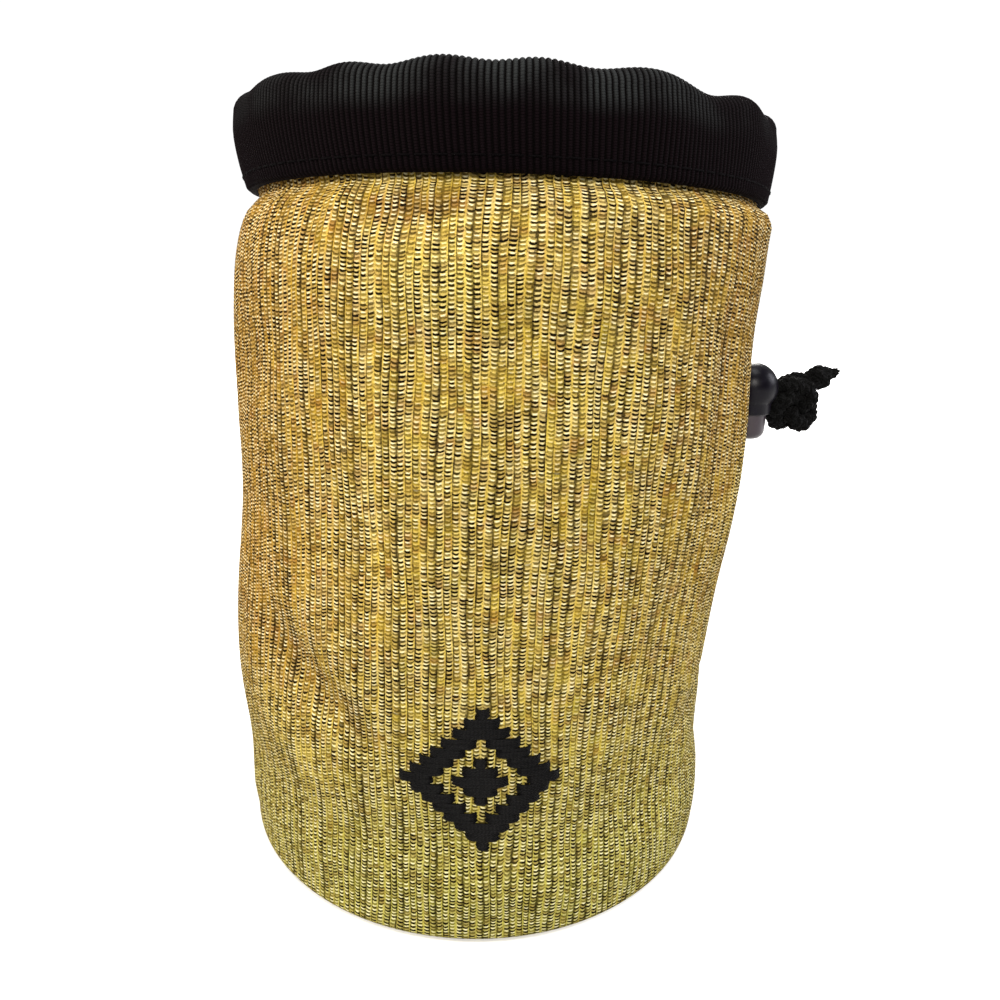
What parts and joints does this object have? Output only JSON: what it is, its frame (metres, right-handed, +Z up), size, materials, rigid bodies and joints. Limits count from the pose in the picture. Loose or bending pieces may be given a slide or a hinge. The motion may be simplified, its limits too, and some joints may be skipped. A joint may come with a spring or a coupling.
{
  "type": "climbing chalk bag",
  "caption": "Upright round climbing chalk bag of ribbed chenille cloth with a webbing-bound rim, a knotted drawcord in a ball cord lock and a belt loop at the back.",
  "frame": {"origin": "middle of the base panel's underside, on the ground", "axes": "+Z up along the bag, -Y towards the front with the motif, +X to the viewer's right, where the drawcord leaves"},
  "size_m": [0.1561, 0.1308, 0.1662],
  "materials": {
    "chenille": "ribbed chenille, mustard and olive, heathered",
    "base_cloth": "the same chenille, flat",
    "rim_webbing": "black ribbed webbing",
    "channel_cloth": "plain dark woven cloth",
    "loop_webbing": "black webbing",
    "embroidery": "black satin stitch",
    "eyelet_metal": "black enamelled, worn at the edge",
    "cord_yarn": "knitted black cord",
    "lock_plastic": "glossy black",
    "button_plastic": "satin dark grey"
  },
  "bodies": {
    "bag": {"shell": "chenille", "base_panel": "base_cloth", "rim_binding": "rim_webbing", "cord_channel": "channel_cloth", "belt_loop": "loop_webbing", "motif_border": "embroidery", "motif_centre": "embroidery", "eyelet": "eyelet_metal", "drawcord": "cord_yarn", "lock_body": "lock_plastic", "knot": "cord_yarn"},
    "button": {"lock_button": "button_plastic"}
  },
  "joints": [
    {"name": "button_press", "type": "slide", "parent": "bag", "child": "button", "axis": [0, 0, 1], "range_m": [0, 0.002], "stiffness_N_per_m": 400, "springref_m": -0.003}
  ]
}
